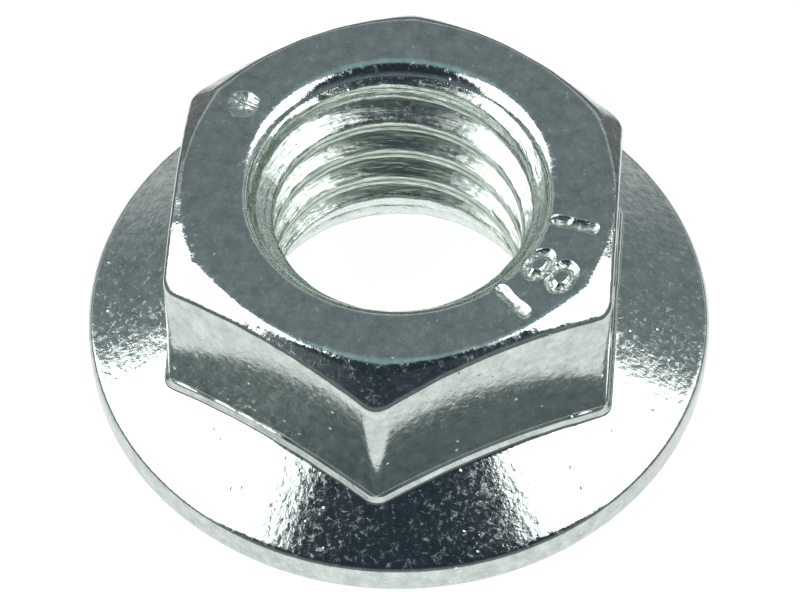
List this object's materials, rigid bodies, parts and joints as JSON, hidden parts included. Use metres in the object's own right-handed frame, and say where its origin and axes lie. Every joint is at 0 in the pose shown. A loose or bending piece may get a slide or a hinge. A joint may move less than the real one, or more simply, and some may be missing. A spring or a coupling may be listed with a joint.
{
  "type": "hexagon flange nut",
  "caption": "Hexagon nut with a conical flange as its own washer, chamfered top, countersunk threaded bore and plain bearing face, bright zinc plated steel.",
  "frame": {"origin": "centre of the bearing face, on the thread's axis", "axes": "+Z along the thread's axis, from the bearing face to the top face; +X square to a flat of the hexagon; +Y through a corner"},
  "size_m": [0.0218, 0.0218, 0.0084],
  "materials": {
    "zinc_plated_steel": "bright zinc plate over cold-formed steel, glossy with a fine crystalline ripple"
  },
  "bodies": {
    "root": {"flange_nut": "zinc_plated_steel"}
  },
  "joints": []
}
